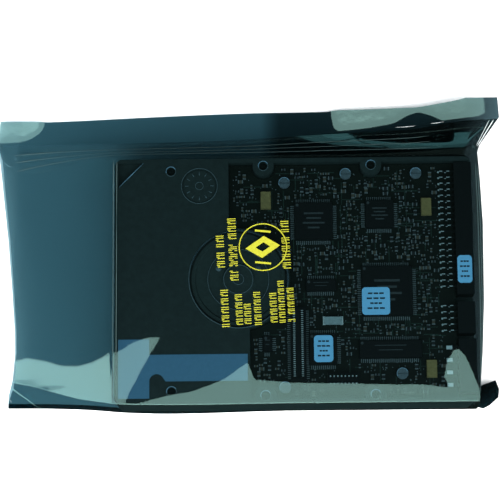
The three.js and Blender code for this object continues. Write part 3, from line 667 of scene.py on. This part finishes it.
class Parts:
    """Collects boxes, rods and discs of one finish into one mesh."""

    def __init__(self, name, material):
        self.name, self.material = name, material
        self.points, self.faces = [], []

    def prism(self, ring, foot, height):
        """An upright prism over a ring of (x, y) points."""
        start, count = len(self.points), len(ring)
        self.points += [(x, y, foot) for x, y in ring] + [(x, y, foot + height) for x, y in ring]
        self.faces.append(tuple(start + count + i for i in range(count)))
        for i in range(count):
            j = (i + 1) % count
            self.faces.append((start + i, start + j, start + count + j, start + count + i))

    def bar(self, x, y, foot, length, width, height, turn=0.0):
        half = np.array([(-1, -1), (1, -1), (1, 1), (-1, 1)]) * (length / 2, width / 2)
        c, s = math.cos(turn), math.sin(turn)
        self.prism([(x + u * c - v * s, y + u * s + v * c) for u, v in half], foot, height)

    def disc(self, x, y, foot, radius, height, sides=14):
        angles = [2 * math.pi * i / sides for i in range(sides)]
        self.prism([(x + radius * math.cos(a), y + radius * math.sin(a)) for a in angles], foot, height)

    def rod(self, path, radius, sides=6):
        """A round rod along a path of points."""
        path = np.array(path, float)
        run = np.gradient(path, axis=0)
        run /= np.linalg.norm(run, axis=1)[:, None]
        side = np.cross(run, (0, 0, 1))
        side /= np.maximum(np.linalg.norm(side, axis=1), 1e-6)[:, None]
        up = np.cross(side, run)
        start = len(self.points)
        taper = np.ones(len(path))
        if np.linalg.norm(path[0] - path[-1]) > 1:
            taper[0] = taper[-1] = 0.2
        for place, across, over, share in zip(path, side, up, taper):
            for i in range(sides):
                a = 2 * math.pi * i / sides
                spoke = across * math.cos(a) + over * math.sin(a)
                self.points.append(tuple(place + spoke * radius * share))
        for k in range(len(path) - 1):
            for i in range(sides):
                j = (i + 1) % sides
                a, b = start + k * sides, start + (k + 1) * sides
                self.faces.append((a + i, a + j, b + j, b + i))

    def ring(self, x, y, z, radius, thickness, sides=48, start=0.0, sweep=2 * math.pi):
        angles = [start + sweep * i / sides for i in range(sides + 1)]
        path = [(x + radius * math.cos(a), y + radius * math.sin(a), z) for a in angles]
        self.rod(path, thickness)

    def make(self, smooth=False, slot=None):
        piece = make_mesh(self.name, self.points, self.faces, [self.material], smooth=smooth)
        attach(piece, "root")


def film_height(upper, x, y):
    """The film's height over a place on the drive."""
    over = upper[TENT_COLUMNS : TENT_COLUMNS + DRIVE_COLUMNS]
    i = int(np.clip(np.searchsorted(over[:, 0, 0], x), 1, len(over) - 1))
    return max(np.interp(y, over[k, WALL_ROWS:, 1], over[k, WALL_ROWS:, 2]) for k in (i - 1, i))


# The print on the film: a ring mark and lines of plain bars, no lettering.
PRINT_TURN = math.radians(2.5)
PRINT_THICKNESS = 0.05
PRINT_LIFT = 0.12
PRINT_STROKE = 0.2
# Each line of print: X of its middle, Y of its upper and lower end, width, bars in each word.
PRINT_LINES = [
    (-30.1, 18.3, 4.1, 3.4, (3, 4)),
    (-25.0, 25.4, -1.3, 3.6, (6, 6, 3)),
    (-28.4, -4.3, -20.1, 3.2, (9,)),
    (-22.7, -6.3, -19.7, 3.0, (8,)),
    (-19.2, -10.3, -19.3, 3.0, (6,)),
    (-15.2, -5.3, -19.3, 3.0, (9,)),
    (-8.7, -5.7, -18.7, 3.0, (8,)),
    (-5.4, -0.7, -18.4, 2.7, (11,)),
    (-1.6, -3.7, -18.0, 3.0, (8, 1)),
    (-3.4, 24.3, 3.5, 3.5, (3, 8)),
]
# Groups of plain bars: each bar's place across and down, and its length as a share of the line's width.
PRINT_FORMS = [
    ((0, 0.27, 0.95), (0, -0.22, 0.95)),
    ((0, 0.27, 0.95), (-0.3, -0.2, 0.4), (0.34, -0.2, 0.3)),
    ((0.05, 0.02, 0.85), (-0.32, 0.34, 0.34)),
    ((-0.24, 0.27, 0.5), (0.1, -0.2, 0.8)),
]
RING_MARK = (-12.7, 13.1)
RING_RADIUS = 9.7
RING_LINE = 0.24
LOZENGE = [(-7.2, -0.6), (-0.4, -4.6), (7.0, 0.6), (0.4, 4.6)]
LOZENGE_HOLE = 0.42
RING_BAR_OFFSET = 6.6
RING_BAR = (6.5, 0.8)
RING_BAR_TURN = -0.1


def print_line(ink, upper, line):
    """One line of print, in which every letter's place takes a group of plain bars."""
    middle, top, bottom, width, words = line
    slots = sum(words) + len(words) - 1
    pitch = (top - bottom) / slots
    place = 0
    for word in words:
        for letter in range(word):
            y = top - (place + 0.5) * pitch
            x = middle - (y - (top + bottom) / 2) * math.tan(PRINT_TURN)
            z = film_height(upper, x, y) + PRINT_LIFT
            stroke = pitch * PRINT_STROKE
            form = PRINT_FORMS[(letter * 5 + place) % len(PRINT_FORMS)]
            for across, down, share in form:
                size = (width * share, stroke, PRINT_THICKNESS)
                ink.bar(x + width * across, y + pitch * down, z, *size, PRINT_TURN)
            place += 1
        place += 1


def make_print(upper):
    """The printed lines and the ring mark, just over the film."""
    yellow = surface_material("yellow_ink", (0.3, 0.3, 0.02), 0.5, variation=0.1)
    ink = Parts("film_print", yellow)
    for line in PRINT_LINES:
        print_line(ink, upper, line)
    x, y = RING_MARK
    spots = [(x + u * RING_RADIUS, y + v * RING_RADIUS) for u in (-1, 0, 1) for v in (-1, 0, 1)]
    z = max(film_height(upper, *spot) for spot in spots) + PRINT_LIFT
    ink.ring(x, y, z, RING_RADIUS, RING_LINE, 72)
    outer = [(x + u, y + v) for u, v in LOZENGE]
    inner = [(x + (u - x) * LOZENGE_HOLE, y + (v - y) * LOZENGE_HOLE) for u, v in outer]
    for a, b, c, d in zip(outer, outer[1:] + outer[:1], inner, inner[1:] + inner[:1]):
        ink.prism([a, b, d, c], z, PRINT_THICKNESS)
    for offset in (-RING_BAR_OFFSET, RING_BAR_OFFSET):
        ink.bar(x, y + offset, z, *RING_BAR, PRINT_THICKNESS, RING_BAR_TURN)
    ink.make()


# Painted highlights on creases: the double fold's columns back from the end, and short ones as paths, with
# radii.
DOUBLE_FOLD = [(2, 0.17), (4, 0.1)]
SHORT_CREASES = [
    ([(44.5, 69.1, 4.6), (49, 69.3, 5.0), (53, 69.6, 5.4)], 0.12),
    ([(59.4, 70.2, 6.5), (62, 70.4, 6.9), (64.8, 70.7, 7.3)], 0.12),
    ([(-122.6, 56.6, 0.9), (-120.8, 54.8, 1.3), (-118.6, 54.2, 1.9)], 0.12),
    ([(-118.6, -45.4, 0.7), (-118.2, -46.4, 0.7)], 0.25),
]
# Thin painted streaks of light and shade on creases: by X beside the drive's end, and as shares of the far
# slope and of the end's fall.
DRIVE_END_CREASES = [(-74.0, -50.6, 50.6), (-72.6, -51.0, 50.8)]
DRIVE_END_HEIGHT_X = -73.4
SLOPE_CREASES = (0.3, 0.55, 0.75)
FALL_CREASES = (0.3, 0.62, 0.9)


def make_creases(upper):
    """Sharp creases of the film: a few painted as white highlights, and thin painted streaks of light and
    shade along its bends.
    """
    painted_highlight = surface_material("painted_highlight_crease", (0.8, 0.86, 0.86), 0.4)
    painted_streak = surface_material("painted_streak_crease", (0.05, 0.085, 0.085), 0.4)
    # Painted highlights: white rods stand in for the panel's glint on the sharpest folds.
    glints = Parts("painted_highlight_creases", painted_highlight)
    for back, radius in DOUBLE_FOLD:
        ridge = [place for place in upper[-1 - back] if 58 < place[1] < 71.5]
        glints.rod([place + (0.1, 0, 0.15) for place in ridge[::3]], radius)
    for path, radius in SHORT_CREASES:
        glints.rod(path, radius)
    glints.make(smooth=True, slot="shield_film")

    # Painted streaks of light and shade: rods in a flat teal stand in for how the creases catch the light.
    lines = Parts("painted_streak_creases", painted_streak)
    for x, near_y, far_y in DRIVE_END_CREASES:
        rows = np.linspace(near_y, far_y, 40)
        lines.rod([(x, y, film_height(upper, DRIVE_END_HEIGHT_X, y) + 0.05) for y in rows], 0.14)
    for share in SLOPE_CREASES:
        row = WALL_ROWS + TOP_ROWS + int(SLOPE_ROWS * share)
        lines.rod([upper[i, row] + (0, 0, 0.06) for i in range(8, 236, 6)], 0.13)
    for share in FALL_CREASES:
        column = upper[TENT_COLUMNS + DRIVE_COLUMNS + int(END_COLUMNS * share) - 1]
        rows = range(WALL_ROWS + 8, WALL_ROWS + TOP_ROWS - 2, 6)
        lines.rod([column[j] + (0.1, 0, 0.06) for j in rows], 0.14)
    lines.make(smooth=True, slot="shield_film")


# Detail on the drive's board and casting

CHIPS = [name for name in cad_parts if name.endswith("_chip")]
NOT_ON_BOARD = ("shielding_bag", "drive_base", "drive_cover", "circuit_board", "casting_sticker")
FOOT_GAP = 0.05
LEAD_PITCH = 0.8
LEAD_LENGTH = 1.5
LEAD_WIDTH = 0.34
LEAD_HEIGHT = 0.25
# Where small parts, vias and traces may lie, in X and in Y.
PART_FIELD = ((-26, 64), (-47, 47))
TRACE_FIELD = ((-24, 62), (-46, 46))
PART_TRIES = 2600
VIA_TRIES = 900
TRACE_TRIES = 260
SMALL_PART = (1.6, 0.8, 0.5)
LARGE_PART = (2.1, 1.3, 0.9)
TRACE_WIDTH = 0.28
BOSS_PLACES = [(x, y) for x in (32.2, -12.2) for y in (47.6, -47.6)]
BOSS_REACH = 5
# The solder side of the connectors, the header and the head socket.
PIN_ROWS = {"interface_connector": 20, "jumper_block": 5}
PIN_PITCH = 2.54
PIN_PLACES = (61.2, 64.1)
PIN_HEIGHT = 1.92
MISSING_PIN = ("interface_connector", 10, 64.1)
POWER_PITCH = 5.08
POWER_PIN_X = 62.6
HEADER_PITCH = 1.5
SOCKET_PITCH = 0.84


def make_leads(leads):
    """Gull-wing leads round the square packages, and along the long sides of the others."""
    z = BOARD_TOP + FOOT_GAP
    half = LEAD_LENGTH / 2
    for name in CHIPS:
        low, high = node_box(name)
        length, width = high[0] - low[0], high[1] - low[1]
        square = abs(length - width) < 3
        if square or length > width:
            for x in np.arange(low[0] + 1, high[0] - 0.9, LEAD_PITCH):
                for y in (low[1] - half, high[1] + half):
                    leads.bar(x, y, z, LEAD_WIDTH, LEAD_LENGTH, LEAD_HEIGHT)
        if square or width > length:
            for y in np.arange(low[1] + 1, high[1] - 0.9, LEAD_PITCH):
                for x in (low[0] - half, high[0] + half):
                    leads.bar(x, y, z, LEAD_LENGTH, LEAD_WIDTH, LEAD_HEIGHT)


def free_of(boxes, x, y, margin):
    """Whether a place stays clear of every box by a margin."""
    return all(
        x < low[0] - margin or x > high[0] + margin or y < low[1] - margin or y > high[1] + margin
        for low, high in boxes
    )


def on_board(x, y):
    """Whether a place is on the laminate, clear of its edges and of the motor."""
    low, high = node_box("circuit_board")
    motor_low, motor_high = node_box("spindle_motor")
    motor = (motor_low + motor_high) / 2
    radius = (motor_high[0] - motor_low[0]) / 2
    left = low[0] if y > motor[1] else low[0] + 8.2
    inside = left + 1.5 < x < high[0] - 1.5 and low[1] + 1.8 < y < high[1] - 1.8
    return inside and math.hypot(x - motor[0], y - motor[1]) > radius + 4.5


def scatter_parts(rng, taken, resistors, ceramics, caps):
    """Chip resistors and capacitors with their end caps, wherever the board has room for them."""
    z = BOARD_TOP + 0.02
    placed = [((x - BOSS_REACH, y - BOSS_REACH), (x + BOSS_REACH, y + BOSS_REACH)) for x, y in BOSS_PLACES]
    for _ in range(PART_TRIES):
        x, y = rng.uniform(*PART_FIELD[0]), rng.uniform(*PART_FIELD[1])
        length, width, height = SMALL_PART if rng.random() < 0.7 else LARGE_PART
        if rng.random() < 0.5:
            length, width = width, length
        if not on_board(x, y) or not free_of(taken, x, y, 2.2) or not free_of(placed, x, y, 0.95):
            continue
        placed.append(((x - length / 2, y - width / 2), (x + length / 2, y + width / 2)))
        kind = ceramics if rng.random() < 0.45 else resistors
        flat = length > width
        body = (length * 0.62, width * 0.96) if flat else (length * 0.96, width * 0.62)
        kind.bar(x, y, z, *body, height * 0.97)
        reach = max(length, width) * 0.4
        for side in (-1, 1):
            if flat:
                caps.bar(x + side * reach, y, z, length * 0.2, width, height)
            else:
                caps.bar(x, y + side * reach, z, length, width * 0.2, height)
    return placed


def scatter_vias(rng, taken, placed, leads):
    for _ in range(VIA_TRIES):
        x, y = rng.uniform(*PART_FIELD[0]), rng.uniform(*PART_FIELD[1])
        if on_board(x, y) and free_of(taken, x, y, 0.6) and free_of(placed, x, y, 0.5):
            leads.disc(x, y, BOARD_TOP, 0.22, 0.06, 8)


def scatter_traces(rng, traces):
    for _ in range(TRACE_TRIES):
        x, y = rng.uniform(*TRACE_FIELD[0]), rng.uniform(*TRACE_FIELD[1])
        run = rng.uniform(3, 12)
        flat = rng.random() < 0.5
        end_x, end_y = (x + run, y) if flat else (x, y + run)
        if on_board(x, y) and on_board(end_x, end_y):
            size = (run, TRACE_WIDTH) if flat else (TRACE_WIDTH, run)
            traces.bar((x + end_x) / 2, (y + end_y) / 2, BOARD_TOP, *size, 0.04)


def make_joints(solder, leads):
    """The solder joints and bright tips of the connectors' pins, the header and the head socket."""
    for name, count in PIN_ROWS.items():
        low, high = node_box(name)
        middle = (low[1] + high[1]) / 2
        for row in range(count):
            y = middle + ((count - 1) / 2 - row) * PIN_PITCH
            for x in PIN_PLACES:
                if (name, row, x) == MISSING_PIN:
                    continue
                solder.bar(x, y, BOARD_TOP + PIN_HEIGHT, 1.3, 0.32, 0.12)
                solder.disc(x - 0.9, y, BOARD_TOP, 0.4, 0.3, 10)
    low, high = node_box("power_connector")
    for pin in range(4):
        y = (low[1] + high[1]) / 2 + (pin - 1.5) * POWER_PITCH
        solder.bar(POWER_PIN_X, y, BOARD_TOP + PIN_HEIGHT, 2.4, 1.5, 0.12)
    low, high = node_box("test_header")
    for column in range(8):
        x = (low[0] + high[0]) / 2 + (column - 3.5) * HEADER_PITCH
        for side in (-1, 1):
            y = (low[1] + high[1]) / 2 + side * HEADER_PITCH
            solder.bar(x, y, high[2] + 0.02, 0.5, 0.5, 0.1)
    low, high = node_box("head_socket")
    for y in np.arange(low[1] + 1, high[1] - 0.8, SOCKET_PITCH):
        for x in (low[0] + 1.5, high[0] - 1.5):
            solder.bar(x, y, high[2] - 0.9, 0.9, LEAD_WIDTH, 0.2)
        for x in (low[0] - 0.6, high[0] + 0.6):
            leads.bar(x, y, BOARD_TOP + FOOT_GAP, 1.2, LEAD_WIDTH, 0.2)
    low, high = node_box("resonator")
    for x in (low[0], high[0]):
        solder.bar(x, (low[1] + high[1]) / 2, BOARD_TOP + FOOT_GAP, 1.0, high[1] - low[1], 1.4)


def make_board_detail():
    tin = surface_material("tinned_lead", (0.11, 0.12, 0.12), 0.5, 0.2)
    bright = surface_material("bright_solder", (0.42, 0.45, 0.44), 0.4, 0.3)
    body = surface_material("chip_resistor", (0.012, 0.012, 0.012), 0.5)
    tan = surface_material("chip_capacitor", (0.05, 0.04, 0.028), 0.6)
    copper = surface_material("masked_copper", (0.02, 0.034, 0.026), 0.35)
    leads, solder = Parts("chip_leads", tin), Parts("solder_joints", bright)
    resistors, ceramics = Parts("chip_resistors", body), Parts("chip_capacitors", tan)
    caps, traces = Parts("end_caps", tin), Parts("board_traces", copper)

    make_leads(leads)
    rng = np.random.default_rng(7)
    taken = [node_box(name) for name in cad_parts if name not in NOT_ON_BOARD]
    placed = scatter_parts(rng, taken, resistors, ceramics, caps)
    scatter_vias(rng, taken, placed, leads)
    scatter_traces(rng, traces)
    make_joints(solder, leads)
    for parts in (leads, solder, resistors, ceramics, caps, traces):
        parts.make()


PACKAGE_MARKS = (0.5, 0.38, 0.56, 0.3)
STICKER_MARKS = (0.6, 0.7, 0.45, 0.66)
MARK_THICKNESS = 0.02


def make_marks():
    """Pin-one dimples and blank marking bars on the packages, and bars on the stickers."""
    grey = surface_material("laser_mark", (0.035, 0.038, 0.038), 0.7)
    dark = surface_material("sticker_ink", (0.02, 0.03, 0.04), 0.6)
    marks, ink = Parts("package_marks", grey), Parts("sticker_marks", dark)
    for name in CHIPS:
        low, high = node_box(name)
        length, width = high[0] - low[0], high[1] - low[1]
        marks.disc(low[0] + 1.3, high[1] - 1.3, high[2], min(0.6, width * 0.12), MARK_THICKNESS)
        rows = 4 if width > 9 else 2
        for row in range(rows):
            y = high[1] - width * (0.3 + 0.5 * row / rows)
            run = length * PACKAGE_MARKS[row]
            marks.bar(low[0] + length * 0.5, y, high[2], run, width * 0.045, MARK_THICKNESS)
    for name in ("controller_sticker", "driver_sticker", "connector_sticker"):
        low, high = node_box(name)
        length, width = high[0] - low[0], high[1] - low[1]
        for row, share in enumerate(STICKER_MARKS):
            y = high[1] - width * (0.22 + 0.18 * row)
            for part in range(3):
                x = low[0] + length * (0.5 + share * (part - 1) / 3)
                ink.bar(x, y, high[2], length * share * 0.27, width * 0.06, MARK_THICKNESS)
    marks.make()
    ink.make()


MOUNT_HOLES = [
    (32.22, 47.62), (-12.23, 47.62), (32.22, -47.62), (-12.23, -47.62), (-50.3, 45.6), (-50.3, -45.6),
]
MOUNT_HOLE_RIM = 2.0
MOTOR_RIM_GAP = 1.0
HUB_HOLES = 3
HUB_HOLE_CIRCLE = 9.3
DATE_RING = (-38.6, 39.4)
DATE_TICKS = 12
DATE_TICK_CIRCLE = 5.2
CORNER_STEP = [(-72, 38.9), (-66.8, 44.1), (-61.6, 49.3)]


def make_casting_detail():
    """Rims drawn as lighter lines with painted highlight arcs on one side, the ticks of the date ring and a
    painted highlight along the edge of the stepped corner.
    """
    rim_glint_paint = surface_material("painted_rim_glint", (0.2, 0.3, 0.38), 0.4, 0.2)
    dull = surface_material("cast_edge", (0.08, 0.1, 0.105), 0.4, 0.1)
    rims, edges = Parts("painted_rim_glints", rim_glint_paint), Parts("cast_edges", dull)

    low, high = node_box("spindle_motor")
    x, y = (low[0] + high[0]) / 2, (low[1] + high[1]) / 2
    rim = (high[0] - low[0]) / 2 + MOTOR_RIM_GAP
    # Painted highlight: a bright arc over part of the motor's rim.
    rims.ring(x, y, DRIVE_TOP, rim, 0.22, 96, start=-0.7, sweep=math.pi * 1.15)
    edges.ring(x, y, DRIVE_TOP, rim, 0.22, 96)
    edges.ring(x, y, high[2] - 0.3, 12.5, 0.15, 64)
    edges.ring(x, y, high[2], 6, 0.18, 48)
    edges.ring(x, y, high[2], 2.2, 0.15, 32)
    for hole in range(HUB_HOLES):
        angle = math.radians(30 + 360 / HUB_HOLES * hole)
        hole_x, hole_y = x + HUB_HOLE_CIRCLE * math.cos(angle), y + HUB_HOLE_CIRCLE * math.sin(angle)
        edges.disc(hole_x, hole_y, high[2] - 0.68, 1.2, 0.1)

    for hole_x, hole_y in MOUNT_HOLES:
        # Painted highlight: a bright half ring on one side of each mount hole.
        rims.ring(hole_x, hole_y, DRIVE_TOP, MOUNT_HOLE_RIM, 0.16, 32, start=0.4, sweep=math.pi)
        edges.ring(hole_x, hole_y, DRIVE_TOP, MOUNT_HOLE_RIM, 0.14, 32)
    ring_x, ring_y = DATE_RING
    for tick in range(DATE_TICKS):
        angle = 2 * math.pi * tick / DATE_TICKS
        tick_x = ring_x + DATE_TICK_CIRCLE * math.cos(angle)
        tick_y = ring_y + DATE_TICK_CIRCLE * math.sin(angle)
        edges.bar(tick_x, tick_y, DRIVE_TOP, 1.6, 0.35, 0.08, angle)
    edges.ring(ring_x, ring_y, DRIVE_TOP, 7.4, 0.16, 64)
    edges.ring(ring_x, ring_y, DRIVE_TOP, 1.6, 0.14, 24)
    # Painted highlight along the edge of the stepped corner.
    rims.rod([(step_x, step_y, DRIVE_TOP) for step_x, step_y in CORNER_STEP], 0.2)
    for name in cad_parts:
        if name.startswith("board_screw"):
            low, high = node_box(name)
            middle = (low + high) / 2
            # Painted highlight: a bright arc on one side of each board screw's head.
            rims.ring(middle[0], middle[1], high[2], 2.2, 0.12, 28, start=0.3, sweep=math.pi * 1.1)
    rims.make(smooth=True)
    edges.make(smooth=True)


# The scene

bpy.context.scene.view_settings.view_transform = "Standard"
make_camera()
make_lights()
dress_solids()
film = make_bag()
foot_line, edge_line = film[:, 0, :2], film[:, -1, :2]
outline = np.concatenate([foot_line[::12], film[-1, ::24, :2], edge_line[::-12]])
make_floor(outline)
make_print(film)
make_creases(film)
make_board_detail()
make_marks()
make_casting_detail()
